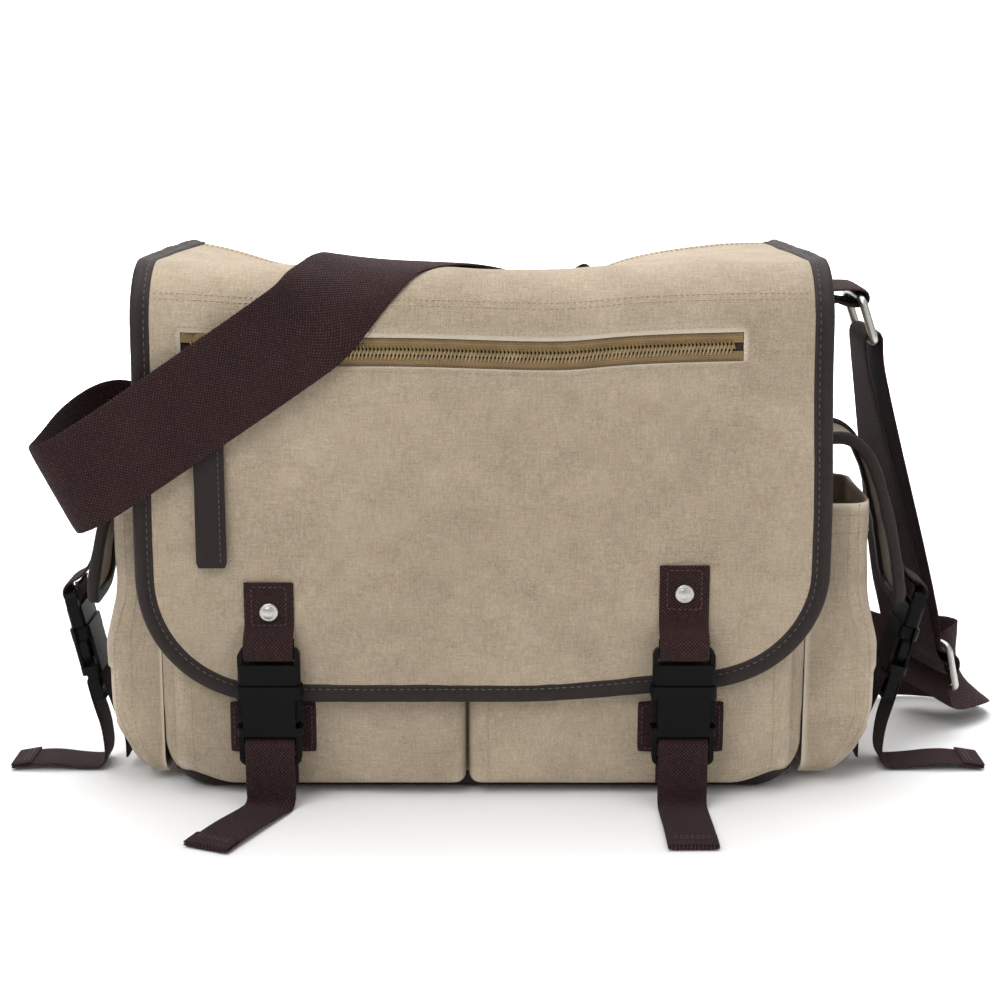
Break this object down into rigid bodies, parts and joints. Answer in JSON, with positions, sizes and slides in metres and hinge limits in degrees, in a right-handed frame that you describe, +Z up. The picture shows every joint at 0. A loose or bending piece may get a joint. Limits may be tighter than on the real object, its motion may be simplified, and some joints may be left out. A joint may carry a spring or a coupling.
{
  "type": "messenger bag",
  "caption": "Flap-over canvas messenger bag with leather edging, a zip in the flap, buckled front straps, buckled side pockets and a webbing shoulder strap.",
  "frame": {"origin": "on the ground under the middle of the bag's base", "axes": "+Z up, the front (flap, buckles) faces -Y, +X is to the right seen from the front"},
  "size_m": [0.6103, 0.281, 0.3172],
  "materials": {
    "canvas": "washed khaki cotton canvas",
    "leather": "dark brown grained leather",
    "webbing": "dark brown cotton webbing",
    "lining": "plain brown lining cloth",
    "board": "stiff sheet",
    "buckle": "satin black moulded plastic",
    "nickel": "satin nickel plate",
    "zip_tape": "woven zip tape",
    "zip_metal": "antique brass"
  },
  "bodies": {
    "bag": {"front_panel": "canvas", "back_panel": "canvas", "gusset_left": "canvas", "gusset_right": "canvas", "base_panel": "leather", "base_board": "board", "lining": "lining", "rim_binding": "leather", "front_pocket_left": "canvas", "front_pocket_right": "canvas", "side_pocket_left": "canvas", "side_pocket_right": "canvas", "ring_loops": "webbing", "front_patches": "webbing", "side_patches": "webbing", "front_strap_left": "webbing", "front_strap_right": "webbing", "side_strap_left": "webbing", "side_strap_right": "webbing", "front_sockets": "buckle", "side_sockets": "buckle", "shoulder_strap": "webbing"},
    "flap_top": {"flap_top_canvas": "canvas", "flap_top_lining": "lining", "flap_top_binding": "leather"},
    "flap_front": {"flap_front_canvas": "canvas", "flap_front_lining": "lining", "flap_front_binding": "leather", "zip_tapes": "zip_tape", "zip_coil": "zip_metal", "zip_pocket_bag": "lining", "front_tabs": "webbing", "front_rivets": "nickel"},
    "zip_slider": {"zip_slider": "zip_metal"},
    "zip_pull": {"zip_pull": "leather", "zip_link": "zip_metal"},
    "adjuster": {"adjuster": "nickel"},
    "side_flap_left": {"side_flap_left": "canvas", "side_flap_left_binding": "leather", "side_tab_left": "webbing", "side_rivet_left": "nickel"},
    "ring_left": {"ring_left": "nickel"},
    "side_flap_right": {"side_flap_right": "canvas", "side_flap_right_binding": "leather", "side_tab_right": "webbing", "side_rivet_right": "nickel"},
    "ring_right": {"ring_right": "nickel"},
    "front_left_plug": {"front_left_plug": "buckle"},
    "front_left_arm_a": {"front_left_arm_a": "buckle"},
    "front_left_arm_b": {"front_left_arm_b": "buckle"},
    "front_right_plug": {"front_right_plug": "buckle"},
    "front_right_arm_a": {"front_right_arm_a": "buckle"},
    "front_right_arm_b": {"front_right_arm_b": "buckle"},
    "side_left_plug": {"side_left_plug": "buckle"},
    "side_left_arm_a": {"side_left_arm_a": "buckle"},
    "side_left_arm_b": {"side_left_arm_b": "buckle"},
    "side_right_plug": {"side_right_plug": "buckle"},
    "side_right_arm_a": {"side_right_arm_a": "buckle"},
    "side_right_arm_b": {"side_right_arm_b": "buckle"}
  },
  "joints": [
    {"name": "flap_open", "type": "hinge", "parent": "bag", "child": "flap_top", "pos_m": [0, 0.0685, 0.3015], "axis": [-1, 0, 0], "range_deg": [0, 120], "deforming": ["shoulder_strap"]},
    {"name": "flap_bend", "type": "hinge", "parent": "flap_top", "child": "flap_front", "pos_m": [0, -0.07567, 0.29567], "axis": [-1, 0, 0], "range_deg": [0, 80]},
    {"name": "zip_slide", "type": "slide", "parent": "flap_front", "child": "zip_slider", "axis": [1, 0, 0], "range_m": [0, 0.282]},
    {"name": "zip_pull_swing", "type": "hinge", "parent": "zip_slider", "child": "zip_pull", "pos_m": [-0.151, -0.0891, 0.262], "axis": [0, 1, 0], "range_deg": [-40, 30]},
    {"name": "adjuster_slide", "type": "slide", "parent": "bag", "child": "adjuster", "axis": [-0.2391, -0.203, 0.9495], "range_m": [0, 0.13]},
    {"name": "ring_left_swing", "type": "hinge", "parent": "bag", "child": "ring_left", "pos_m": [-0.1949, 0.015, 0.252], "axis": [0, 1, 0], "range_deg": [0, 70]},
    {"name": "side_flap_left_open", "type": "hinge", "parent": "bag", "child": "side_flap_left", "pos_m": [-0.1886, -0.023, 0.2], "axis": [0, 1, 0], "range_deg": [0, 60]},
    {"name": "ring_right_swing", "type": "hinge", "parent": "bag", "child": "ring_right", "pos_m": [0.2195, 0.015, 0.2795], "axis": [0, -1, 0], "range_deg": [-15, 50]},
    {"name": "side_flap_right_open", "type": "hinge", "parent": "bag", "child": "side_flap_right", "pos_m": [0.1886, -0.023, 0.2], "axis": [0, -1, 0], "range_deg": [0, 60]},
    {"name": "front_left_plug_slide", "type": "slide", "parent": "flap_front", "child": "front_left_plug", "axis": [0, 0, 1], "range_m": [0, 0.024], "deforming": ["front_tabs"]},
    {"name": "front_left_squeeze_a", "type": "hinge", "parent": "front_left_plug", "child": "front_left_arm_a", "pos_m": [-0.1325, -0.0945, 0.071], "axis": [0, -1, 0], "range_deg": [0, 7], "stiffness_Nm_per_rad": 0.05},
    {"name": "front_left_squeeze_b", "type": "hinge", "parent": "front_left_plug", "child": "front_left_arm_b", "pos_m": [-0.1075, -0.0945, 0.071], "axis": [0, 1, 0], "range_deg": [0, 7], "stiffness_Nm_per_rad": 0.05},
    {"name": "front_right_plug_slide", "type": "slide", "parent": "flap_front", "child": "front_right_plug", "axis": [0, 0, 1], "range_m": [0, 0.024], "deforming": ["front_tabs"]},
    {"name": "front_right_squeeze_a", "type": "hinge", "parent": "front_right_plug", "child": "front_right_arm_a", "pos_m": [0.1005, -0.0945, 0.071], "axis": [0, -1, 0], "range_deg": [0, 7], "stiffness_Nm_per_rad": 0.05},
    {"name": "front_right_squeeze_b", "type": "hinge", "parent": "front_right_plug", "child": "front_right_arm_b", "pos_m": [0.1255, -0.0945, 0.071], "axis": [0, 1, 0], "range_deg": [0, 7], "stiffness_Nm_per_rad": 0.05},
    {"name": "side_left_plug_slide", "type": "slide", "parent": "side_flap_left", "child": "side_left_plug", "axis": [-0.225, 0, 0.9744], "range_m": [0, 0.024], "deforming": ["side_tab_left"]},
    {"name": "side_left_squeeze_a", "type": "hinge", "parent": "side_left_plug", "child": "side_left_arm_a", "pos_m": [-0.2375, -0.0105, 0.08851], "axis": [-0.9744, 0, -0.225], "range_deg": [0, 7], "stiffness_Nm_per_rad": 0.05},
    {"name": "side_left_squeeze_b", "type": "hinge", "parent": "side_left_plug", "child": "side_left_arm_b", "pos_m": [-0.2375, -0.0355, 0.08851], "axis": [0.9744, 0, 0.225], "range_deg": [0, 7], "stiffness_Nm_per_rad": 0.05},
    {"name": "side_right_plug_slide", "type": "slide", "parent": "side_flap_right", "child": "side_right_plug", "axis": [0.2588, 0, 0.9659], "range_m": [0, 0.024], "deforming": ["side_tab_right"]},
    {"name": "side_right_squeeze_a", "type": "hinge", "parent": "side_right_plug", "child": "side_right_arm_a", "pos_m": [0.25082, -0.0355, 0.08868], "axis": [0.9659, 0, -0.2588], "range_deg": [0, 7], "stiffness_Nm_per_rad": 0.05},
    {"name": "side_right_squeeze_b", "type": "hinge", "parent": "side_right_plug", "child": "side_right_arm_b", "pos_m": [0.25082, -0.0105, 0.08868], "axis": [-0.9659, 0, 0.2588], "range_deg": [0, 7], "stiffness_Nm_per_rad": 0.05}
  ],
  "couplings": [
    {"joint": "front_left_squeeze_b", "follows": "front_left_squeeze_a", "ratio": 1},
    {"joint": "front_right_squeeze_b", "follows": "front_right_squeeze_a", "ratio": 1},
    {"joint": "side_left_squeeze_b", "follows": "side_left_squeeze_a", "ratio": 1},
    {"joint": "side_right_squeeze_b", "follows": "side_right_squeeze_a", "ratio": 1}
  ]
}
